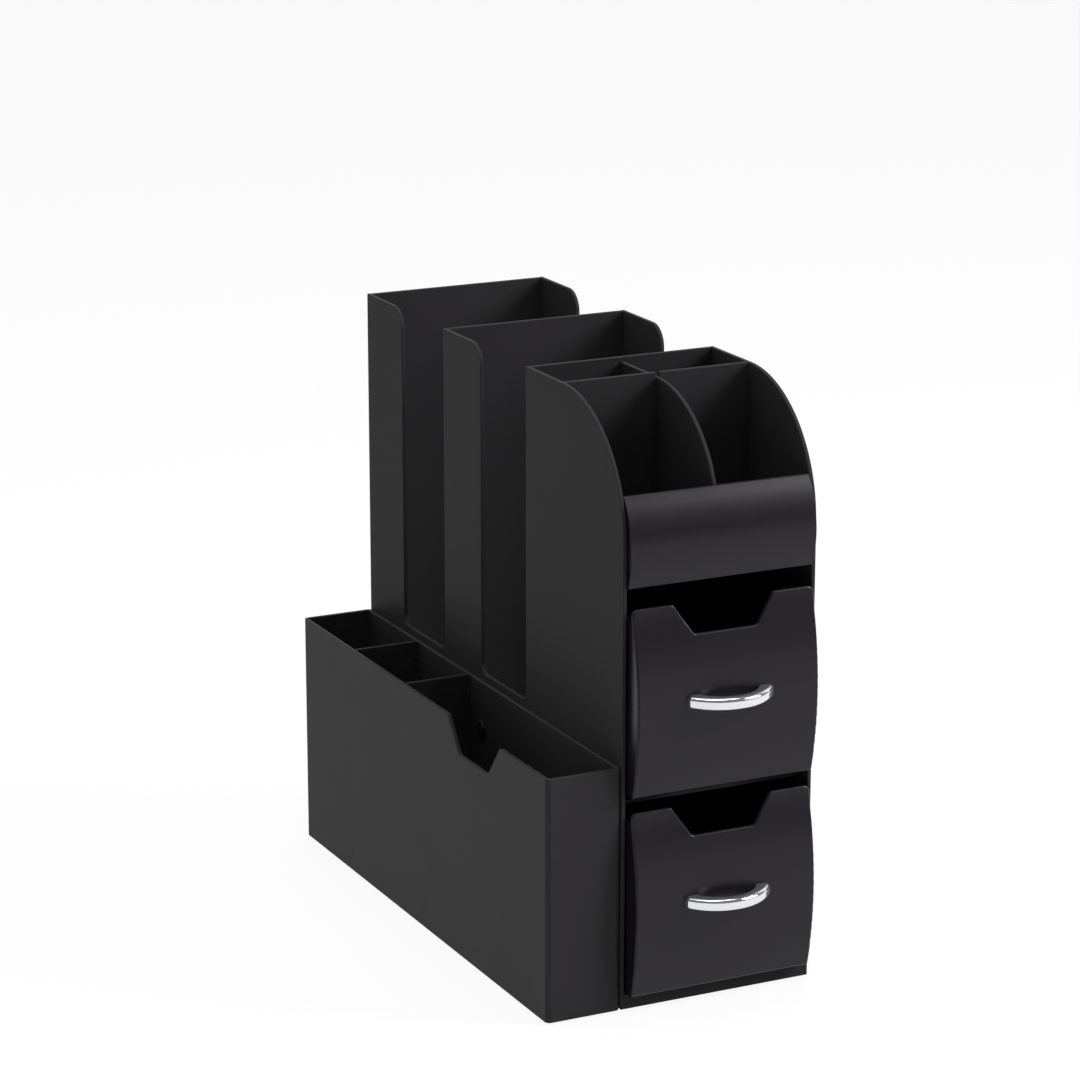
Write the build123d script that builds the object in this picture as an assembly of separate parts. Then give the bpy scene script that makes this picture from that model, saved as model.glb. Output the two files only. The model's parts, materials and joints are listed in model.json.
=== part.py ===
from build123d import *
from math import sqrt
import os

os.makedirs("parts", exist_ok=True)

# A condiment caddy: a tower with two cup wells, a four-way top tray and two drawers,
# and a low side bin along its left side. Sizes are in mm. While it is built, X starts at
# the left side panel's outer face, Y at the front edge of the base and Z under the base.
# The last section moves everything so that the origin is under the middle of the whole.

# Driving dimensions: the tower
tower_width = 100.0
caddy_depth = 286.0
caddy_height = 286.0
panel_wall = 2.0            # side panels and cross walls
well_depth = 90.75          # inside of a cup well, front to back
nose_radius = 63.0          # rounded front upper corner of the side panels
nose_overhang = 0.4         # how far the nose stands in front of the base
wing_width = 43.0           # side plate left standing behind each cup slot
wing_round = 11.0           # its front upper corner
slot_floor = 122.0          # height of the bottom of the cup slots
slot_corner = 5.0
edge_round = 0.5            # rounding of free plate edges

# Base, shelf and tray
floor_wall = 2.5
plinth_gap = 0.6            # between the plinth lip and the drawer passing over it
plinth_wall = 2.5
shelf_wall = 2.0
shelf_setback = 8.0         # the shelf's front edge, behind the front of the base
shelf_gap = 0.9             # over the lower drawer
ledge_size = 2.0            # ribs on the side panels that carry the shelf and the tray
ledge_setback = 6.0
tray_gap = 9.3              # over the upper drawer
tray_wall = 2.0
tray_lip_height = 42.0      # front of the tray
tray_inset = 0.3            # its upper edge, behind the edges of the side panels
tray_bulge_radius = 41.5    # its front bulges forward between its upper and its lower edge
tray_chin = 0.9             # its lower edge, in front of the base
tray_end_gap = 0.3          # between its ends and the side panels
tray_cheek_wall = 1.5       # webs that close its ends behind the bulge
tray_cheek_depth = 5.0      # how far they reach behind the front of the base
cross_wall_setback = 62.5   # between the sachet and the stirrer compartments
halving_gap = 0.1           # clearance of the halving joint of the tray's two plates

# Drawers
drawer_height = 89.2
drawer_side_gap = 0.9
drawer_rear_gap = 2.0
drawer_wall = 2.0
drawer_floor = 2.0
drawer_side_drop = 5.0      # sides and back end this far under the top of the front
bulge_depth = 10.4
bulge_radius = 160.0
bulge_height = 39.5         # most forward line of the bulge, above the drawer's underside
lip_start = 78.0            # above this the front sweeps back the other way
lip_radius = 90.0
front_edge_round = 1.0
front_corner_round = 3.0
notch_top_width = 51.8
notch_bottom_width = 32.5
notch_depth = 14.2
notch_round = 2.0

# Runners and stops
runner_width = 6.0
runner_height = 4.8
runner_spacing = 76.0
runner_gap = 0.3            # under the drawer
runner_round = 0.8
runner_setback = 2.0        # behind the shelf's front edge
stop_setback = 12.0
stop_wall = 2.0
stop_length = 40.0
stop_gap = 0.8              # between the stop rib and the drawer passing over it
lug_length = 16.0
lug_wall = 3.0
lug_gap = 1.5               # between the lug and the floor it passes over
lug_inset = 14.0            # from the drawer's back
stop_clearance = 0.3        # left between lug and rib at full travel

# Handles
handle_length = 43.5
handle_reach = 13.1         # beyond the most forward line of the bulge
handle_bar = 4.7            # thickness at the middle
handle_height = 5.8
handle_foot = 6.6
handle_foot_depth = 2.2
handle_corner_round = 1.2
handle_front_round = 1.9
handle_back_round = 0.7
handle_centre_height = 44.4  # above the drawer's underside
handle_seat_margin = 4.0

# Fasteners
handle_screw_radius = 1.25
handle_screw_bite = 3.6
handle_screw_head_radius = 2.8
handle_screw_head = 1.8
screw_gap = 0.05            # between a screw and its pilot hole
clearance_hole_radius = 1.6
base_screw_radius = 1.3
base_screw_length = 12.0
base_screw_head_radius = 2.9
base_screw_head = 1.6
boss_radius = 3.5
boss_height = 14.0
boss_gap = 0.3
boss_sink = 1.0             # how far a boss merges into its wall
rivet_radius = 2.0
rivet_gap = 0.1
rivet_head_radius = 4.0
rivet_head = 1.5
rivet_round = 0.9
rivet_low = 30.0            # lower row, above the base
rivet_drop = 23.5           # upper row, under the rim of the bin

# Side bin
bin_width = 38.0
bin_height = 118.5
bin_wall = 2.0
bin_floor = 2.0
bin_corner = 2.5
bin_inner_corner = 1.0
bin_notch_centre = 79.0
bin_notch_top = 57.6
bin_notch_bottom = 32.0
bin_notch_depth = 16.8
bin_notch_round = 2.5
bin_divider_wall = 2.0
bin_divider_gap = 0.2
bin_front_pocket = 158.0    # inside of the front compartment
bin_middle_pocket = 60.0
bin_rib_wall = 1.2
bin_rib_reach = 1.5
bin_rib_drop = 8.0

# Feet
foot_radius = 6.0
foot_height = 1.0
foot_inset = 13.0

# Places worked out from the driving dimensions
tower_centre = tower_width / 2
inside_left = panel_wall
inside_right = tower_width - panel_wall
back_wall_y = caddy_depth - panel_wall
well_divider_y = back_wall_y - well_depth - panel_wall
bay_wall_y = well_divider_y - well_depth - panel_wall
nose_centre_y = nose_radius - nose_overhang
nose_centre_z = caddy_height - nose_radius
running_height = runner_height + runner_gap
drawer_lift = floor_wall + running_height
plinth_height = drawer_lift - plinth_gap
shelf_height = drawer_lift + drawer_height + shelf_gap
shelf_top = shelf_height + shelf_wall
upper_drawer_lift = shelf_top + running_height
stop_height = running_height - stop_gap
lug_drop = running_height - lug_gap
tray_height = upper_drawer_lift + drawer_height + tray_gap
tray_top = tray_height + tray_lip_height
tray_floor_top = tray_height + tray_wall
tray_front_inner = tray_inset + tray_wall
halving_height = (tray_floor_top + caddy_height) / 2
drawer_width = tower_width - 2 * panel_wall - 2 * drawer_side_gap
drawer_left = tower_centre - drawer_width / 2
drawer_right = tower_centre + drawer_width / 2
drawer_back = bay_wall_y - drawer_rear_gap
lug_y = drawer_back - lug_inset - lug_wall
stop_y = stop_setback + stop_wall
drawer_travel = lug_y - stop_y - stop_clearance
front_reach = bulge_depth + handle_reach
handle_screw_spread = (handle_length - handle_foot) / 2
bin_back = caddy_depth
bin_divider_ys = [
    bin_wall + bin_front_pocket,
    bin_wall + bin_front_pocket + bin_divider_wall + bin_middle_pocket,
]
far = 2 * caddy_height      # longer than anything here, for cutting
tolerance = 0.01            # for telling edges apart


def block(x0, x1, y0, y1, z0, z1):
    centre = Pos((x0 + x1) / 2, (y0 + y1) / 2, (z0 + z1) / 2)
    return centre * Box(x1 - x0, y1 - y0, z1 - z0)


def along_x(face, x0, x1):
    # A face drawn as (Y, Z), drawn out from x0 to x1.
    return extrude(Plane.YZ.offset(x0) * face, x1 - x0)


def near(value, target):
    return abs(value - target) < tolerance


def round_edges(solid, radius, keep):
    chosen = [edge for edge in solid.edges() if keep(edge)]
    return fillet(chosen, radius)


def runs_along(edge, axis):
    size = edge.bounding_box().size
    sizes = {"x": size.X, "y": size.Y, "z": size.Z}
    return all(sizes[name] < tolerance for name in sizes if name != axis)


def round_top(solid, top, radius=edge_round):
    return round_edges(solid, radius, lambda edge: runs_along(edge, "x") and near(edge.center().Z, top))


# Side panels ---------------------------------------------------------------------------------

def nose_outline(back, inset=0.0):
    # Side view of the tower, up to Y = back, with its front and top edges set in by inset.
    top = caddy_height - inset
    chin = (inset - nose_overhang, nose_centre_z)
    crown = (nose_centre_y, top)
    front = Line((inset, 0), chin)
    nose = JernArc(chin, (0, 1), nose_radius - inset, -90)
    rest = Polyline(crown, (back, top), (back, 0), (inset, 0))
    return make_face(front + nose + rest)


def cup_slot(front, back):
    tall = 2 * (caddy_height - slot_floor)
    middle = Pos((front + back) / 2, slot_floor + tall / 2)
    return middle * RectangleRounded(back - front, tall, slot_corner)


def side_plate():
    outline = nose_outline(caddy_depth)
    wing_fronts = []
    for wall_y in (bay_wall_y, well_divider_y):
        wing_front = wall_y + 2 * panel_wall + well_depth - wing_width
        wing_fronts.append(wing_front)
        outline -= cup_slot(wall_y + panel_wall, wing_front)
    at_top = [corner for corner in outline.vertices() if near(corner.Y, caddy_height)]
    wing_corners = [corner for corner in at_top if any(near(corner.X, y) for y in wing_fronts)]
    outline = fillet(wing_corners, wing_round)
    plate = along_x(outline, 0, panel_wall)
    return round_edges(plate, edge_round, lambda edge: not runs_along(edge, "x"))


def ledges(x0, x1):
    ribs = []
    for top in (shelf_height, tray_height):
        ribs.append(block(x0, x1, ledge_setback, bay_wall_y, top - ledge_size, top))
    return ribs


def rivet_places():
    # In the middle of each cup well, in two rows.
    return [(wall_y + panel_wall + well_depth / 2, height)
            for wall_y in (bay_wall_y, well_divider_y)
            for height in (rivet_low, bin_height - rivet_drop)]


def across(radius, x0, x1, y, z):
    # A round bar along X.
    return Pos((x0 + x1) / 2, y, z) * Rot(0, 90, 0) * Cylinder(radius, x1 - x0)


def make_left_side_panel():
    panel = side_plate()
    for rib in ledges(panel_wall, panel_wall + ledge_size):
        panel += rib
    for y, z in rivet_places():
        panel -= across(rivet_radius + rivet_gap, -panel_wall, 2 * panel_wall, y, z)
    return panel


def make_right_side_panel():
    panel = Pos(tower_width - panel_wall, 0, 0) * side_plate()
    for rib in ledges(inside_right - ledge_size, inside_right):
        panel += rib
    return panel


# Cross walls and floors ----------------------------------------------------------------------

def boss_places(wall_y, side):
    # Two screw bosses per cross wall, in the lower corners of a cup well.
    face_y = wall_y if side < 0 else wall_y + panel_wall
    y = face_y + side * (boss_radius - boss_sink)
    offset = boss_gap + boss_radius
    return [(inside_left + offset, y), (inside_right - offset, y)]


def all_boss_places():
    return boss_places(back_wall_y, -1) + boss_places(well_divider_y, 1) + boss_places(bay_wall_y, 1)


def cross_wall(wall_y, boss_side):
    wall = block(inside_left, inside_right, wall_y, wall_y + panel_wall, floor_wall, caddy_height)
    wall = round_top(wall, caddy_height)
    pilot = Cylinder(base_screw_radius + screw_gap, base_screw_length)
    for x, y in boss_places(wall_y, boss_side):
        wall += Pos(x, y, floor_wall + boss_height / 2) * Cylinder(boss_radius, boss_height)
        wall -= Pos(x, y, base_screw_length / 2) * pilot
    return wall


def stop_rib(floor_z):
    left = tower_centre - stop_length / 2
    return block(left, left + stop_length, stop_setback, stop_y, floor_z, floor_z + stop_height)


def make_base_floor():
    floor = block(inside_left, inside_right, 0, caddy_depth, 0, floor_wall)
    floor += block(inside_left, inside_right, 0, plinth_wall, 0, plinth_height)
    floor = round_top(floor, plinth_height)
    floor += stop_rib(floor_wall)
    for x, y in all_boss_places():
        floor -= Pos(x, y, floor_wall / 2) * Cylinder(clearance_hole_radius, floor_wall)
        head = Cone(base_screw_head_radius + screw_gap, base_screw_radius + screw_gap, base_screw_head)
        floor -= Pos(x, y, base_screw_head / 2) * head
    return floor


def make_drawer_shelf():
    shelf = block(inside_left, inside_right, shelf_setback, bay_wall_y, shelf_height, shelf_top)
    shelf = round_edges(shelf, edge_round, lambda edge: runs_along(edge, "x")
                        and near(edge.center().Y, shelf_setback))
    return shelf + stop_rib(shelf_top)


def make_runner(side, floor_z):
    x = tower_centre + side * runner_spacing / 2
    half = runner_width / 2
    top = floor_z + runner_height
    runner = block(x - half, x + half, shelf_setback + runner_setback, bay_wall_y, floor_z, top)
    return round_edges(runner, runner_round, lambda edge: runs_along(edge, "y")
                       and near(edge.center().Z, top))


# Top tray ------------------------------------------------------------------------------------

def tray_bulge_centre():
    # Middle of the arc that runs through the upper and the lower edge of the tray's front.
    nose_reach = sqrt((nose_radius - tray_inset) ** 2 - (tray_top - nose_centre_z) ** 2)
    top_y = nose_centre_y - nose_reach
    half_y = (top_y + tray_chin) / 2
    half_z = tray_lip_height / 2
    half_chord = sqrt(half_y ** 2 + half_z ** 2)
    share = sqrt(tray_bulge_radius ** 2 - half_chord ** 2) / half_chord
    return half_y - tray_chin + share * half_z, tray_height + half_z - share * half_y


def tray_disc(radius):
    return Pos(*tray_bulge_centre()) * Circle(radius)


def behind_tray_front():
    # Side view of the space behind the tray's front, as high as the front is.
    middle_y = tray_bulge_centre()[0]
    band = Pos(0, tray_height + tray_lip_height / 2) * Rectangle(far, tray_lip_height)
    rear = Pos((middle_y + bay_wall_y) / 2, tray_height) * Rectangle(bay_wall_y - middle_y, far)
    return (tray_disc(tray_bulge_radius - tray_wall) + rear) & band


def make_tray_floor():
    inside = along_x(behind_tray_front(), inside_left, inside_right)
    return inside & block(inside_left, inside_right, -nose_radius, bay_wall_y, tray_height, tray_floor_top)


def make_tray_front():
    left = inside_left + tray_end_gap
    right = inside_right - tray_end_gap
    band = along_x(tray_disc(tray_bulge_radius) - tray_disc(tray_bulge_radius - tray_wall), left, right)
    band &= block(left, right, -nose_radius, tray_bulge_centre()[0], tray_height, tray_top)
    band = round_edges(band, edge_round, lambda edge: runs_along(edge, "x"))
    cheek_top = tray_top - 2 * edge_round
    for x0, x1 in ((left, left + tray_cheek_wall), (right - tray_cheek_wall, right)):
        cheek = along_x(tray_disc(tray_bulge_radius - tray_wall / 2), x0, x1)
        band += cheek & block(x0, x1, -nose_radius, tray_cheek_depth, tray_floor_top, cheek_top)
    return band


def make_tray_cross_wall():
    back = cross_wall_setback + tray_wall
    wall = block(inside_left, inside_right, cross_wall_setback, back, tray_floor_top, caddy_height)
    wall = round_top(wall, caddy_height)
    half = tray_wall / 2 + halving_gap
    return wall - block(tower_centre - half, tower_centre + half, 0, caddy_depth, halving_height, far)


def make_tray_centre_divider():
    half = tray_wall / 2
    plate = along_x(nose_outline(bay_wall_y, tray_front_inner), tower_centre - half, tower_centre + half)
    plate = round_edges(plate, edge_round, lambda edge: not runs_along(edge, "x")
                        and edge.center().Z > nose_centre_z
                        and edge.center().Y < bay_wall_y - edge_round)
    plate &= block(0, tower_width, -nose_radius, bay_wall_y, tray_top, caddy_height)
    foot = along_x(behind_tray_front(), tower_centre - half, tower_centre + half)
    plate += foot & block(0, tower_width, -nose_radius, bay_wall_y, tray_floor_top, tray_top)
    front = cross_wall_setback - halving_gap
    back = cross_wall_setback + tray_wall + halving_gap
    return plate - block(0, tower_width, front, back, 0, halving_height)


# Side bin ------------------------------------------------------------------------------------

def bin_ribs():
    ribs = []
    top = bin_height - bin_rib_drop
    left = -bin_width + bin_wall
    right = -bin_wall
    for divider_y in bin_divider_ys:
        front_rib = divider_y - bin_divider_gap - bin_rib_wall
        rear_rib = divider_y + bin_divider_wall + bin_divider_gap
        for y in (front_rib, rear_rib):
            ribs.append(block(left, left + bin_rib_reach, y, y + bin_rib_wall, bin_floor, top))
            ribs.append(block(right - bin_rib_reach, right, y, y + bin_rib_wall, bin_floor, top))
    return ribs


def bin_notch_outline():
    bottom = bin_height - bin_notch_depth
    half_top = bin_notch_top / 2
    half_bottom = bin_notch_bottom / 2
    slope = (half_top - half_bottom) / bin_notch_depth
    over = half_top + slope * bin_notch_depth
    return make_face(Polyline(
        (bin_notch_centre - half_bottom, bottom),
        (bin_notch_centre + half_bottom, bottom),
        (bin_notch_centre + over, bin_height + bin_notch_depth),
        (bin_notch_centre - over, bin_height + bin_notch_depth),
        (bin_notch_centre - half_bottom, bottom)))


def make_side_bin():
    tub = block(-bin_width, 0, 0, bin_back, 0, bin_height)
    tub = round_edges(tub, bin_corner, lambda edge: runs_along(edge, "z"))
    left = -bin_width + bin_wall
    hollow = block(left, -bin_wall, bin_wall, bin_back - bin_wall, bin_floor, 2 * bin_height)
    hollow = round_edges(hollow, bin_inner_corner, lambda edge: runs_along(edge, "z"))
    tub -= hollow
    tub -= along_x(bin_notch_outline(), -bin_width - bin_wall, -bin_width + 2 * bin_wall)
    notch_bottom = bin_height - bin_notch_depth
    tub = round_edges(tub, bin_notch_round, lambda edge: runs_along(edge, "x")
                      and near(edge.length, bin_wall)
                      and edge.center().Z > notch_bottom - tolerance)
    tub = round_edges(tub, edge_round, lambda edge: edge.bounding_box().min.Z > notch_bottom - tolerance
                      and not (runs_along(edge, "x") and near(edge.length, bin_wall)))
    for rib in bin_ribs():
        tub += rib
    for y, z in rivet_places():
        tub -= across(rivet_radius + rivet_gap, -2 * bin_wall, bin_wall, y, z)
    return tub


def make_bin_divider(y):
    left = -bin_width + bin_wall + bin_divider_gap
    right = -bin_wall - bin_divider_gap
    plate = block(left, right, y, y + bin_divider_wall, bin_floor, bin_height)
    return round_top(plate, bin_height)


def make_bin_rivets():
    rivets = []
    for y, z in rivet_places():
        heads = []
        for inner, outer in ((-bin_wall, -bin_wall - rivet_head), (panel_wall, panel_wall + rivet_head)):
            head = across(rivet_head_radius, min(inner, outer), max(inner, outer), y, z)
            head = round_edges(head, rivet_round, lambda edge: near(edge.center().X, outer))
            heads.append(head)
        rivets.append(heads[0] + heads[1] + across(rivet_radius, -bin_wall, panel_wall, y, z))
    return rivets


# Drawers -------------------------------------------------------------------------------------

lip_lean = (lip_start - bulge_height) / bulge_radius
lip_upright = sqrt(1 - lip_lean ** 2)


def bulge_y(z):
    # The bulged part of a drawer's front, z above its underside.
    return bulge_radius - bulge_depth - sqrt(bulge_radius ** 2 - (z - bulge_height) ** 2)


def lip_y(z):
    # The part above the bulge, which sweeps back the other way.
    centre_y = bulge_y(lip_start) - lip_radius * lip_upright
    centre_z = lip_start + lip_radius * lip_lean
    return centre_y + sqrt(lip_radius ** 2 - (z - centre_z) ** 2)


def front_y(z):
    return bulge_y(z) if z < lip_start else lip_y(z)


def front_curve(shift):
    # The two arcs of a drawer's front, moved back by shift, and where they end.
    low = (bulge_y(0) + shift, 0)
    peak = (-bulge_depth + shift, bulge_height)
    turn = (bulge_y(lip_start) + shift, lip_start)
    high = (lip_y(drawer_height) + shift, drawer_height)
    bulge = ThreePointArc(low, peak, turn)
    lip = TangentArc(turn, high, tangent=(lip_lean, lip_upright))
    return bulge + lip, low, high


def on_front(edge, shift=0.0):
    # Whether an edge bounds the front surface of a drawer, moved back by shift.
    # The line where its two arcs run into each other isn't such an edge.
    points = [edge.position_at(share) for share in (0.1, 0.5, 0.9)]
    lies_in = all(near(point.Y - shift, front_y(point.Z)) for point in points)
    return lies_in and not near(edge.center().Z, lip_start)


def drawer_side_outline(shift, back, bottom=0.0):
    curve, low, high = front_curve(shift)
    outline = make_face(curve + Polyline(high, (back, drawer_height), (back, 0), low))
    if bottom > 0:
        outline &= Pos(0, bottom + far / 2) * Rectangle(2 * far, far)
    return outline


def is_front_rim(edge):
    # The free top edge of a drawer's front above its sides, and the notch in it.
    off_centre = abs(edge.center().X - tower_centre)
    limits = edge.bounding_box()
    over_notch_floor = limits.min.Z > drawer_height - notch_depth - tolerance
    over_sides = limits.max.Z > drawer_height - drawer_side_drop + tolerance
    between_sides = off_centre < drawer_width / 2 - drawer_wall - edge_round
    not_at_end = off_centre < drawer_width / 2 - edge_round
    return over_notch_floor and not_at_end and (over_sides or between_sides)


def notch_cutter():
    # The finger notch, drawn as (X, Z) above the drawer's underside and cut through the front.
    bottom = drawer_height - notch_depth
    slope = (notch_top_width - notch_bottom_width) / 2 / notch_depth
    over = notch_top_width / 2 + slope * notch_depth
    outline = make_face(Polyline(
        (tower_centre - notch_bottom_width / 2, bottom),
        (tower_centre + notch_bottom_width / 2, bottom),
        (tower_centre + over, drawer_height + notch_depth),
        (tower_centre - over, drawer_height + notch_depth),
        (tower_centre - notch_bottom_width / 2, bottom)))
    return extrude(Plane.XZ.offset(bulge_depth + drawer_wall) * outline, -bulge_depth - 3 * drawer_wall)


def handle_screw_xs():
    return [tower_centre - handle_screw_spread, tower_centre + handle_screw_spread]


def along_y(radius, y0, y1, x, z):
    # A round bar along Y.
    return Pos(x, (y0 + y1) / 2, z) * Rot(90, 0, 0) * Cylinder(radius, y1 - y0)


def drawer_body():
    # One moulding: bulged front with a notch, sides, back, floor and the lug of the stop.
    body = along_x(drawer_side_outline(0, drawer_back), drawer_left, drawer_right)
    inner = drawer_side_outline(drawer_wall, drawer_back - drawer_wall, drawer_floor)
    body -= along_x(inner, drawer_left + drawer_wall, drawer_right - drawer_wall)
    above = drawer_side_outline(drawer_wall, 2 * drawer_back, drawer_height - drawer_side_drop)
    body -= along_x(above, 0, tower_width)
    body -= notch_cutter()
    notch_bottom = drawer_height - notch_depth
    body = round_edges(body, notch_round, lambda edge: runs_along(edge, "y")
                       and near(edge.length, drawer_wall)
                       and edge.center().Z > notch_bottom - tolerance
                       and abs(edge.center().X - tower_centre) < notch_top_width / 2 + tolerance)
    body = round_edges(body, front_corner_round, lambda edge: runs_along(edge, "y")
                       and near(edge.length, drawer_wall)
                       and near(edge.center().Z, drawer_height)
                       and abs(edge.center().X - tower_centre) > drawer_width / 2 - tolerance)
    body = round_edges(body, front_edge_round, on_front)
    body = round_edges(body, edge_round, lambda edge: on_front(edge, drawer_wall)
                       and is_front_rim(edge))
    for x in handle_screw_xs():
        body -= along_y(clearance_hole_radius, -2 * bulge_depth, 0, x, handle_centre_height)
    left = tower_centre - lug_length / 2
    return body + block(left, left + lug_length, lug_y, lug_y + lug_wall, -lug_drop, 0)


def handle_body():
    # A bow in plan, thick at its two feet, with a rounded front, cut to the bulge of the drawer.
    half = handle_length / 2
    inner_half = half - handle_foot
    wall_y = -bulge_depth
    back_y = wall_y + handle_seat_margin
    foot_y = wall_y - handle_foot_depth
    tip_y = wall_y - handle_reach
    outer = Polyline((-half, back_y), (-half, foot_y))
    outer += ThreePointArc((-half, foot_y), (0, tip_y), (half, foot_y))
    outer += Polyline((half, foot_y), (half, back_y), (inner_half, back_y), (inner_half, wall_y))
    outer += ThreePointArc((inner_half, wall_y), (0, tip_y + handle_bar), (-inner_half, wall_y))
    outer += Polyline((-inner_half, wall_y), (-inner_half, back_y), (-half, back_y))
    low = handle_centre_height - handle_height / 2
    bar = extrude(Pos(tower_centre, 0, low) * make_face(outer), handle_height)
    bar = round_edges(bar, handle_corner_round, lambda edge: runs_along(edge, "z")
                      and near(edge.center().Y, foot_y))
    bar = round_edges(bar, handle_front_round, lambda edge: edge.bounding_box().min.Y < tip_y + tolerance)
    bar = round_edges(bar, handle_back_round, lambda edge:
                      edge.bounding_box().size.X > 2 * inner_half - tolerance
                      and edge.bounding_box().min.Y > tip_y + handle_bar - tolerance)
    bar -= along_x(drawer_side_outline(0, drawer_back), drawer_left, drawer_right)
    pilot_radius = handle_screw_radius + screw_gap
    pilot_tip = wall_y - handle_screw_bite
    for x in handle_screw_xs():
        bar -= along_y(pilot_radius, pilot_tip, 0, x, handle_centre_height)
    return bar


def handle_screws():
    screws = []
    z = handle_centre_height
    tip_y = -bulge_depth - handle_screw_bite + screw_gap
    seat_y = bulge_y(z + handle_screw_head_radius) + drawer_wall
    top_y = seat_y + handle_screw_head
    for x in handle_screw_xs():
        shank = along_y(handle_screw_radius, tip_y, seat_y, x, z)
        head = along_y(handle_screw_head_radius, seat_y, top_y, x, z)
        head = round_edges(head, handle_screw_head / 2, lambda edge: near(edge.center().Y, top_y))
        screws.append(shank + head)
    return screws


# Small parts under the base ------------------------------------------------------------------

def make_base_screws():
    screws = []
    shank = Cylinder(base_screw_radius, base_screw_length - 2 * screw_gap)
    head = Cone(base_screw_head_radius, base_screw_radius, base_screw_head)
    for x, y in all_boss_places():
        screws.append(Pos(x, y, base_screw_length / 2) * shank + Pos(x, y, base_screw_head / 2) * head)
    return screws


def make_rubber_feet():
    xs = (-bin_width + foot_inset, tower_width - foot_inset)
    ys = (foot_inset, caddy_depth - foot_inset)
    return [Pos(x, y, -foot_height / 2) * Cylinder(foot_radius, foot_height) for x in xs for y in ys]


# Everything, moved so that the origin is under the middle of the whole ------------------------

shift = Pos((bin_width - tower_width) / 2, (front_reach - caddy_depth) / 2, foot_height)


def save(name, piece, lift=0.0):
    solids = piece if isinstance(piece, list) else [piece]
    placed = [shift * Pos(0, 0, lift) * solid for solid in solids]
    shape = placed[0] if len(placed) == 1 else Compound(children=placed)
    export_step(shape, f"parts/{name}.step")


save("left_side_panel", make_left_side_panel())
save("right_side_panel", make_right_side_panel())
save("back_wall", cross_wall(back_wall_y, -1))
save("cup_well_divider", cross_wall(well_divider_y, 1))
save("drawer_bay_back_wall", cross_wall(bay_wall_y, 1))
save("base_floor", make_base_floor())
save("drawer_shelf", make_drawer_shelf())
save("tray_floor", make_tray_floor())
save("tray_front", make_tray_front())
save("tray_cross_wall", make_tray_cross_wall())
save("tray_centre_divider", make_tray_centre_divider())
for level, floor_z in (("lower", floor_wall), ("upper", shelf_top)):
    save(f"{level}_left_runner", make_runner(-1, floor_z))
    save(f"{level}_right_runner", make_runner(1, floor_z))
for level, lift in (("lower", drawer_lift), ("upper", upper_drawer_lift)):
    save(f"{level}_drawer", drawer_body(), lift)
    save(f"{level}_handle", handle_body(), lift)
    save(f"{level}_handle_screws", handle_screws(), lift)
save("side_bin", make_side_bin())
save("bin_front_divider", make_bin_divider(bin_divider_ys[0]))
save("bin_rear_divider", make_bin_divider(bin_divider_ys[1]))
save("bin_rivets", make_bin_rivets())
save("base_screws", make_base_screws())
save("rubber_feet", make_rubber_feet())
print("drawer travel", round(drawer_travel, 2))
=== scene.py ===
import json
import math
import bmesh
import bpy
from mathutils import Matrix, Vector


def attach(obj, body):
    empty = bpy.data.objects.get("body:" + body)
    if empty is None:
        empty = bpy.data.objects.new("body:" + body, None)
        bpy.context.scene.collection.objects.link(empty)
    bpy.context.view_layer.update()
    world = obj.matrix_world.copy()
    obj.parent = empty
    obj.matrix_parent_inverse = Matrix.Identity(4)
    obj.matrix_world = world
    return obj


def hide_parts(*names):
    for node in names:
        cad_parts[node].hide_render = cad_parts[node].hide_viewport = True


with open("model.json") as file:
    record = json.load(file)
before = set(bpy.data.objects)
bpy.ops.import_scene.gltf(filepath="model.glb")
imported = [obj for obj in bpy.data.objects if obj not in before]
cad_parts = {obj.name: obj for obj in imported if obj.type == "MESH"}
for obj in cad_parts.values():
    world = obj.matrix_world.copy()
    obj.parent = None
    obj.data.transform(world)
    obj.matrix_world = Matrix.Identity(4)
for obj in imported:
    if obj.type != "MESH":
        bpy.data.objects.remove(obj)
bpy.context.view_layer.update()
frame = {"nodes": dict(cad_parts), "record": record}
nodes = frame["nodes"]
mm = 0.001
print("frame loaded:", len(nodes), "nodes")


# small helpers for the shader trees

def startMaterial(name):
    material = bpy.data.materials.new(name)
    material.use_nodes = True
    tree = material.node_tree
    return material, tree, tree.nodes["Principled BSDF"]


def addNode(tree, kind, **values):
    node = tree.nodes.new(kind)
    for key, value in values.items():
        setattr(node, key, value)
    return node


def objectPoint(tree):
    return addNode(tree, "ShaderNodeTexCoord").outputs["Object"]


def noise(tree, point, scale, detail=2.0):
    node = addNode(tree, "ShaderNodeTexNoise")
    node.inputs["Scale"].default_value = scale
    node.inputs["Detail"].default_value = detail
    tree.links.new(point, node.inputs["Vector"])
    return node.outputs["Fac"]


def stretched(tree, point, scale):
    node = addNode(tree, "ShaderNodeMapping")
    node.inputs["Scale"].default_value = scale
    tree.links.new(point, node.inputs["Vector"])
    return node.outputs["Vector"]


def spread(tree, value, fromLow, fromHigh, toLow, toHigh):
    node = addNode(tree, "ShaderNodeMapRange")
    ends = {"From Min": fromLow, "From Max": fromHigh, "To Min": toLow, "To Max": toHigh}
    for socket, number in ends.items():
        node.inputs[socket].default_value = number
    tree.links.new(value, node.inputs["Value"])
    return node.outputs["Result"]


def calculate(tree, operation, first, second=None):
    node = addNode(tree, "ShaderNodeMath", operation=operation)
    for socket, value in zip(node.inputs, (first, second)):
        if value is None:
            continue
        if isinstance(value, (int, float)):
            socket.default_value = value
        else:
            tree.links.new(value, socket)
    return node.outputs["Value"]


def blendColours(tree, share, first, second):
    node = addNode(tree, "ShaderNodeMix", data_type="RGBA")
    tree.links.new(share, node.inputs["Factor"])
    for socket, value in ((node.inputs[6], first), (node.inputs[7], second)):
        if isinstance(value, tuple):
            socket.default_value = (*value, 1.0)
        else:
            tree.links.new(value, socket)
    return node.outputs[2]


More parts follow.
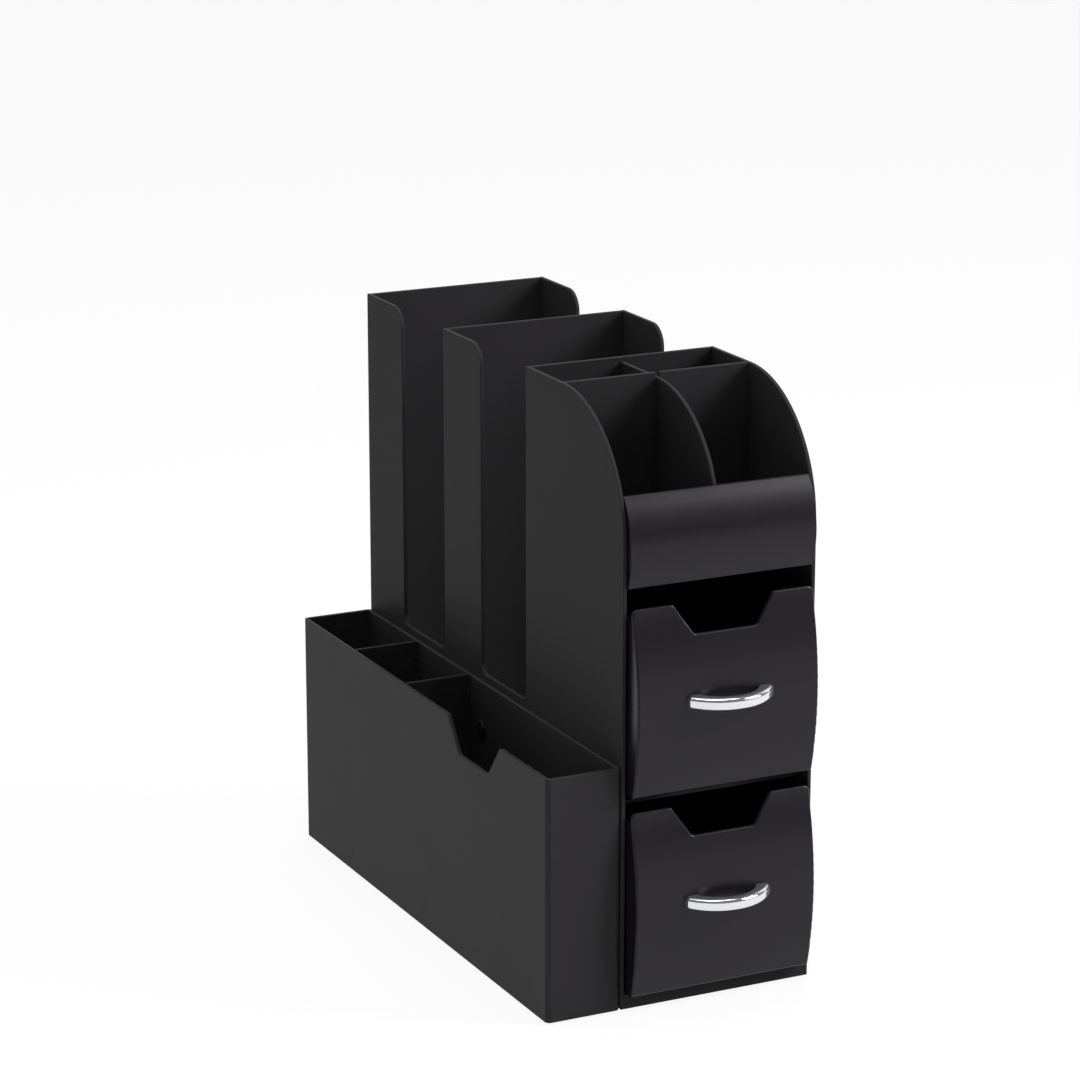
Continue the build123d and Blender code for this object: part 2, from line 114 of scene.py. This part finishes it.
def bump(tree, height, distance, under=None):
    node = addNode(tree, "ShaderNodeBump")
    node.inputs["Distance"].default_value = distance
    node.inputs["Strength"].default_value = 1.0
    tree.links.new(height, node.inputs["Height"])
    if under is not None:
        tree.links.new(under, node.inputs["Normal"])
    return node.outputs["Normal"]


edgeMask = {"samples": 4, "flat": 1.0, "turned": 0.85}   # cosines between the two normals


def edgeShare(tree, radius):
    # 1 on edges, 0 on flat faces
    rounded = addNode(tree, "ShaderNodeBevel", samples=edgeMask["samples"])
    rounded.inputs["Radius"].default_value = radius
    flat = addNode(tree, "ShaderNodeNewGeometry").outputs["Normal"]
    product = addNode(tree, "ShaderNodeVectorMath", operation="DOT_PRODUCT")
    tree.links.new(rounded.outputs["Normal"], product.inputs[0])
    tree.links.new(flat, product.inputs[1])
    return spread(tree, product.outputs["Value"], edgeMask["flat"], edgeMask["turned"], 0.0, 1.0)


# charcoal plastic of the housing and the drawers

housingPlastic = {
    "name": "satinCharcoalHousing",
    "colour": (0.0262, 0.0246, 0.0264),
    "paleColour": (0.0286, 0.0269, 0.0288),
    "cloudScale": 14.0,
    "cloudRange": (0.1, 0.9),
    # lighter colour on the edges: partly rubbed wear, partly a painted highlight along the rounded
    # edges
    "edgeWearAndHighlightColour": (0.048, 0.047, 0.050),
    "edgeRadius": 0.7 * mm,
    "edgeWearAndHighlightShare": 0.4,
    "wearAndHighlightScale": 160.0,
    "wearAndHighlightRange": (0.42, 0.62),
    "roughness": (0.44, 0.49),
    "patchScale": 55.0,
    "patchRange": (0.05, 0.95),
    "specular": 0.022,
    "grainScale": 2600.0,
    "grainDepth": 0.012 * mm,
    "waveScale": 24.0,
    "waveDepth": 0.02 * mm,
    "specularTint": (1.0, 1.0, 1.0),
    "sinkLines": [],
}
binPlastic = dict(
    housingPlastic,
    name="satinCharcoalBin",
    specular=0.05,
    sinkLines=[28.1 * mm, 31.5 * mm, 90.1 * mm, 93.5 * mm],   # Y of the ribs behind the wall
    sinkWidth=1.6 * mm,
    sinkDepth=0.03 * mm,
)
drawerPlastic = dict(
    housingPlastic,
    name="satinCharcoalDrawer",
    colour=(0.0086, 0.0074, 0.0110),
    paleColour=(0.0097, 0.0084, 0.0122),
    roughness=(0.27, 0.32),
    specular=0.27,
    specularTint=(0.97, 0.94, 1.0),
)
rivetPlastic = dict(
    housingPlastic,
    name="blackRivetPlastic",
    colour=(0.012, 0.012, 0.0125),
    paleColour=(0.016, 0.016, 0.0165),
    roughness=(0.34, 0.44),
)
runnerPlastic = dict(
    housingPlastic,
    name="slipperyRunnerPlastic",
    colour=(0.035, 0.035, 0.037),
    paleColour=(0.045, 0.045, 0.048),
    roughness=(0.26, 0.36),
)


def sinkLine(tree, point, look, lineY, under):
    # the faint hollow that a rib behind a moulded wall leaves in it
    parts = addNode(tree, "ShaderNodeSeparateXYZ")
    tree.links.new(point, parts.inputs[0])
    away = calculate(tree, "ABSOLUTE", calculate(tree, "SUBTRACT", parts.outputs["Y"], lineY))
    height = addNode(tree, "ShaderNodeMapRange", interpolation_type="SMOOTHSTEP")
    height.inputs["From Max"].default_value = look["sinkWidth"]
    tree.links.new(away, height.inputs["Value"])
    return bump(tree, height.outputs["Result"], look["sinkDepth"], under=under)


def mouldedPlastic(look):
    material, tree, shader = startMaterial(look["name"])
    point = objectPoint(tree)
    drift = noise(tree, point, look["cloudScale"], 4.0)
    cloud = spread(tree, drift, *look["cloudRange"], 0.0, 1.0)
    colour = blendColours(tree, cloud, look["colour"], look["paleColour"])
    # edges blended towards a lighter colour in noisy patches: part wear, part painted edge highlight
    wornAndHighlitPatches = spread(tree, noise(tree, point, look["wearAndHighlightScale"], 3.0), *look["wearAndHighlightRange"], 0.0, 1.0)
    wearAndHighlight = calculate(tree, "MULTIPLY", wornAndHighlitPatches, look["edgeWearAndHighlightShare"])
    edges = calculate(tree, "MULTIPLY", edgeShare(tree, look["edgeRadius"]), wearAndHighlight)
    colour = blendColours(tree, edges, colour, look["edgeWearAndHighlightColour"])
    tree.links.new(colour, shader.inputs["Base Color"])
    patches = noise(tree, point, look["patchScale"], 3.0)
    gloss = spread(tree, patches, *look["patchRange"], *look["roughness"])
    tree.links.new(gloss, shader.inputs["Roughness"])
    shader.inputs["Specular IOR Level"].default_value = look["specular"]
    shader.inputs["Specular Tint"].default_value = (*look["specularTint"], 1.0)
    waves = bump(tree, noise(tree, point, look["waveScale"], 1.0), look["waveDepth"])
    for lineY in look["sinkLines"]:
        waves = sinkLine(tree, point, look, lineY, waves)
    grain = noise(tree, point, look["grainScale"], 1.0)
    tree.links.new(bump(tree, grain, look["grainDepth"], under=waves), shader.inputs["Normal"])
    return material


# bright chrome of the two handles

chromePlate = {
    "name": "brightChrome",
    "colour": (0.765, 0.775, 0.795),
    "metallic": 0.93,               # the rest is the haze of thin plating
    "roughness": (0.035, 0.085),
    "smudgeScale": 240.0,
    "smudgeRange": (0.35, 0.7),
    "hairlines": (180.0, 2400.0, 6000.0),
    "hairlineDepth": 0.0025 * mm,
}


def platedChrome(look):
    material, tree, shader = startMaterial(look["name"])
    point = objectPoint(tree)
    shader.inputs["Base Color"].default_value = (*look["colour"], 1.0)
    shader.inputs["Metallic"].default_value = look["metallic"]
    smudges = noise(tree, point, look["smudgeScale"], 4.0)
    gloss = spread(tree, smudges, *look["smudgeRange"], *look["roughness"])
    tree.links.new(gloss, shader.inputs["Roughness"])
    hairlines = noise(tree, stretched(tree, point, look["hairlines"]), 1.0)
    tree.links.new(bump(tree, hairlines, look["hairlineDepth"]), shader.inputs["Normal"])
    return material


# zinc plated screws

screwZinc = {
    "name": "zincPlatedSteel",
    "colour": (0.50, 0.50, 0.52),
    "dullColour": (0.36, 0.355, 0.35),
    "roughness": (0.24, 0.42),
    "cloudScale": 900.0,
    "cloudRange": (0.35, 0.65),
    "grain": (9000.0, 9000.0, 9000.0),
    "grainDepth": 0.004 * mm,
}


def zincSteel(look):
    material, tree, shader = startMaterial(look["name"])
    point = objectPoint(tree)
    clouds = spread(tree, noise(tree, point, look["cloudScale"], 4.0), *look["cloudRange"], 0.0, 1.0)
    colour = blendColours(tree, clouds, look["colour"], look["dullColour"])
    tree.links.new(colour, shader.inputs["Base Color"])
    shader.inputs["Metallic"].default_value = 1.0
    tree.links.new(spread(tree, clouds, 0.0, 1.0, *look["roughness"]), shader.inputs["Roughness"])
    grain = noise(tree, stretched(tree, point, look["grain"]), 1.0, 1.0)
    tree.links.new(bump(tree, grain, look["grainDepth"]), shader.inputs["Normal"])
    return material


# black rubber of the feet

footRubber = {
    "name": "blackRubber",
    "colour": (0.016, 0.016, 0.016),
    "dustColour": (0.045, 0.044, 0.042),
    "roughness": (0.72, 0.88),
    "dustScale": 420.0,
    "dustRange": (0.5, 0.72),
    "grainScale": 1800.0,
    "grainDepth": 0.03 * mm,
}


def dullRubber(look):
    material, tree, shader = startMaterial(look["name"])
    point = objectPoint(tree)
    dust = spread(tree, noise(tree, point, look["dustScale"], 4.0), *look["dustRange"], 0.0, 1.0)
    colour = blendColours(tree, dust, look["colour"], look["dustColour"])
    tree.links.new(colour, shader.inputs["Base Color"])
    tree.links.new(spread(tree, dust, 0.0, 1.0, *look["roughness"]), shader.inputs["Roughness"])
    grain = noise(tree, point, look["grainScale"])
    tree.links.new(bump(tree, grain, look["grainDepth"]), shader.inputs["Normal"])
    return material


looks = {
    "housing_plastic": mouldedPlastic(housingPlastic),
    "drawer_plastic": mouldedPlastic(drawerPlastic),
    "runner_plastic": mouldedPlastic(runnerPlastic),
    "rivet_plastic": mouldedPlastic(rivetPlastic),
    "handle": platedChrome(chromePlate),
    "screw_steel": zincSteel(screwZinc),
    "rubber": dullRubber(footRubber),
}
for row in frame["record"]["subparts"]:
    piece = nodes[row["node"]]
    piece.data.materials.clear()
    piece.data.materials.append(looks[row["material_slot"]])
nodes["side_bin"].data.materials[0] = mouldedPlastic(binPlastic)
nodes["tray_front"].data.materials[0] = looks["drawer_plastic"]
print("materials made:", len(looks))


# cross recesses in the screw heads, cut into copies of the plain screws

screwRecess = {
    "length": 3.2 * mm,
    "width": 0.75 * mm,
    "depth": 1.1 * mm,
}
baseScrews = dict(
    screwRecess,
    piece="baseScrewSet",
    node="base_screws",
    body="caddy",
    faces=(0, 0, -1),
)
upperHandleScrews = dict(
    screwRecess,
    piece="upperHandleScrewSet",
    node="upper_handle_screws",
    body="upper_drawer",
    faces=(0, 1, 0),
)
lowerHandleScrews = dict(
    upperHandleScrews,
    piece="lowerHandleScrewSet",
    node="lower_handle_screws",
    body="lower_drawer",
)
mergeDistance = 0.002 * mm


def mergedCopy(node, name):
    mesh = nodes[node].data.copy()
    mesh.name = name
    shape = bmesh.new()
    shape.from_mesh(mesh)
    bmesh.ops.remove_doubles(shape, verts=shape.verts, dist=mergeDistance)
    shape.to_mesh(mesh)
    shape.free()
    piece = bpy.data.objects.new(name, mesh)
    bpy.context.scene.collection.objects.link(piece)
    return piece


def headCentres(mesh, faces):
    # the middle of each loose screw, at the level of its head
    shape = bmesh.new()
    shape.from_mesh(mesh)
    left, centres = set(shape.verts), []
    direction = Vector(faces)
    while left:
        island, queue = [], [left.pop()]
        while queue:
            corner = queue.pop()
            island.append(corner.co.copy())
            for edge in corner.link_edges:
                other = edge.other_vert(corner)
                if other in left:
                    left.remove(other)
                    queue.append(other)
        low = Vector([min(co[axis] for co in island) for axis in range(3)])
        high = Vector([max(co[axis] for co in island) for axis in range(3)])
        middle = (low + high) / 2
        middle += direction * (max(co.dot(direction) for co in island) - middle.dot(direction))
        centres.append(middle)
    shape.free()
    return sorted(centres, key=lambda co: tuple(co))


def recessTree():
    tree = bpy.data.node_groups.new("crossRecess", "GeometryNodeTree")
    sockets = {
        "Geometry": "Geometry",
        "Head Points": "Object",
        "Length": "Float",
        "Width": "Float",
        "Depth": "Float",
        "Turn": "Rotation",
        "Material": "Material",
    }
    for socket, kind in sockets.items():
        tree.interface.new_socket(socket, in_out="INPUT", socket_type="NodeSocket" + kind)
    tree.interface.new_socket("Geometry", in_out="OUTPUT", socket_type="NodeSocketGeometry")
    given = addNode(tree, "NodeGroupInput").outputs
    points = addNode(tree, "GeometryNodeObjectInfo")
    tree.links.new(given["Head Points"], points.inputs["Object"])
    deep = calculate(tree, "MULTIPLY", given["Depth"], 2.0)
    bars = addNode(tree, "GeometryNodeJoinGeometry")
    for first, second in (("Length", "Width"), ("Width", "Length")):
        size = addNode(tree, "ShaderNodeCombineXYZ")
        tree.links.new(given[first], size.inputs[0])
        tree.links.new(given[second], size.inputs[1])
        tree.links.new(deep, size.inputs[2])
        bar = addNode(tree, "GeometryNodeMeshCube")
        tree.links.new(size.outputs[0], bar.inputs["Size"])
        tree.links.new(bar.outputs["Mesh"], bars.inputs[0])
    copies = addNode(tree, "GeometryNodeInstanceOnPoints")
    tree.links.new(points.outputs["Geometry"], copies.inputs["Points"])
    tree.links.new(bars.outputs[0], copies.inputs["Instance"])
    tree.links.new(given["Turn"], copies.inputs["Rotation"])
    cutters = addNode(tree, "GeometryNodeRealizeInstances")
    tree.links.new(copies.outputs[0], cutters.inputs[0])
    cut = addNode(tree, "GeometryNodeMeshBoolean", operation="DIFFERENCE", solver="EXACT")
    cut.inputs["Self Intersection"].default_value = True
    tree.links.new(given["Geometry"], cut.inputs["Mesh 1"])
    tree.links.new(cutters.outputs[0], cut.inputs["Mesh 2"])
    real = addNode(tree, "GeometryNodeRealizeInstances")
    tree.links.new(cut.outputs["Mesh"], real.inputs[0])
    finish = addNode(tree, "GeometryNodeSetMaterial")
    tree.links.new(real.outputs[0], finish.inputs["Geometry"])
    tree.links.new(given["Material"], finish.inputs["Material"])
    tree.links.new(finish.outputs[0], addNode(tree, "NodeGroupOutput").inputs[0])
    return tree


def setInputs(modifier, values):
    for socket in modifier.node_group.interface.items_tree:
        if socket.in_out == "INPUT" and socket.name in values:
            modifier[socket.identifier] = values[socket.name]


def makeScrews(tree, settings):
    blank = mergedCopy(settings["node"], settings["piece"] + "Blank")
    pointMesh = bpy.data.meshes.new(settings["piece"] + "Points")
    pointMesh.from_pydata(headCentres(blank.data, settings["faces"]), [], [])
    points = bpy.data.objects.new(pointMesh.name, pointMesh)
    modifier = blank.modifiers.new("crossRecess", "NODES")
    modifier.node_group = tree
    setInputs(modifier, {
        "Head Points": points,
        "Length": settings["length"],
        "Width": settings["width"],
        "Depth": settings["depth"],
        "Turn": Vector(settings["faces"]).to_track_quat("Z", "Y").to_euler(),
        "Material": looks["screw_steel"],
    })
    graph = bpy.context.evaluated_depsgraph_get()
    mesh = bpy.data.meshes.new_from_object(blank.evaluated_get(graph))
    mesh.name = settings["piece"]
    piece = bpy.data.objects.new(settings["piece"], mesh)
    bpy.context.scene.collection.objects.link(piece)
    bpy.data.objects.remove(blank)
    bpy.data.objects.remove(points)
    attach(piece, settings["body"])
    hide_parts(settings["node"])
    print(settings["piece"], len(mesh.polygons), "faces")


crossRecess = recessTree()
for settings in (baseScrews, upperHandleScrews, lowerHandleScrews):
    makeScrews(crossRecess, settings)


# floor, backdrop light and lamps

studio = {
    "floorSize": 9.0,
    "floorColour": (0.84, 0.84, 0.84),
    "floorRoughness": 0.9,
    "floorWhite": 0.90,             # how much of plain white the camera sees in the floor
    "frontGrey": 0.16,              # world towards the front, behind the camera
    "backWhite": 1.0,               # world behind the object
    "fade": (-0.1, 0.5),            # Y of the direction, over which one turns into the other
    "worldStrength": 1.0,
}
lampAim = (0, 0, 0.12)
lamps = [
    {"name": "topSoftbox", "at": (-0.1, -0.05, 1.7), "size": 1.3, "watts": 20.0},
    {"name": "frontSoftbox", "at": (1.5, -0.95, 1.2), "size": 0.9, "watts": 42.0},
]


def makeFloor():
    half = studio["floorSize"] / 2
    mesh = bpy.data.meshes.new("studioFloor")
    corners = [(-half, -half, 0), (half, -half, 0), (half, half, 0), (-half, half, 0)]
    mesh.from_pydata(corners, [], [(0, 1, 2, 3)])
    floor = bpy.data.objects.new("studioFloor", mesh)
    bpy.context.scene.collection.objects.link(floor)
    material, tree, shader = startMaterial("paleFloor")
    shader.inputs["Base Color"].default_value = (*studio["floorColour"], 1.0)
    shader.inputs["Roughness"].default_value = studio["floorRoughness"]
    glow = addNode(tree, "ShaderNodeEmission")
    ray = addNode(tree, "ShaderNodeLightPath")
    seen = calculate(tree, "MAXIMUM", ray.outputs["Is Camera Ray"], ray.outputs["Is Glossy Ray"])
    seen = calculate(tree, "MAXIMUM", seen, ray.outputs["Is Transmission Ray"])
    mix = addNode(tree, "ShaderNodeMixShader")
    tree.links.new(calculate(tree, "MULTIPLY", seen, studio["floorWhite"]), mix.inputs[0])
    tree.links.new(shader.outputs[0], mix.inputs[1])
    tree.links.new(glow.outputs[0], mix.inputs[2])
    tree.links.new(mix.outputs[0], tree.nodes["Material Output"].inputs["Surface"])
    floor.data.materials.append(material)


def makeWorld():
    world = bpy.data.worlds.new("studioWorld")
    bpy.context.scene.world = world
    world.use_nodes = True
    tree = world.node_tree
    background = tree.nodes["Background"]
    direction = addNode(tree, "ShaderNodeTexCoord").outputs["Generated"]
    parts = addNode(tree, "ShaderNodeSeparateXYZ")
    tree.links.new(direction, parts.inputs[0])
    levels = studio["frontGrey"], studio["backWhite"]
    depth = spread(tree, parts.outputs["Y"], *studio["fade"], *levels)
    colour = addNode(tree, "ShaderNodeCombineColor")
    for socket in ("Red", "Green", "Blue"):
        tree.links.new(depth, colour.inputs[socket])
    tree.links.new(colour.outputs[0], background.inputs["Color"])
    background.inputs["Strength"].default_value = studio["worldStrength"]


def addLamp(lamp):
    data = bpy.data.lights.new(lamp["name"], "AREA")
    data.shape = "SQUARE"
    data.size = lamp["size"]
    data.energy = lamp["watts"]
    light = bpy.data.objects.new(lamp["name"], data)
    light.location = lamp["at"]
    aim = Vector(lampAim) - light.location
    light.rotation_euler = aim.to_track_quat("-Z", "Y").to_euler()
    bpy.context.scene.collection.objects.link(light)


makeFloor()
makeWorld()
for lamp in lamps:
    addLamp(lamp)
print("studio set up with", len(lamps), "lamps")


# camera at the photograph's viewing angle

viewpoint = {
    "at": (-0.7838, -1.58655, 0.6806),
    "turn": 26.047,                 # degrees from +Y towards +X
    "tilt": 15.457,                 # degrees downwards
    "lens": 126.2,
    "sensor": 36.0,
}
camera = bpy.data.objects.new("photoCamera", bpy.data.cameras.new("photoCamera"))
camera.data.lens = viewpoint["lens"]
camera.data.sensor_width = viewpoint["sensor"]
camera.data.clip_end = 50.0
camera.location = viewpoint["at"]
camera.rotation_euler = (math.radians(90 - viewpoint["tilt"]), 0, math.radians(-viewpoint["turn"]))
bpy.context.scene.collection.objects.link(camera)
bpy.context.scene.camera = camera
bpy.context.scene.view_settings.view_transform = "Standard"
print("camera placed")
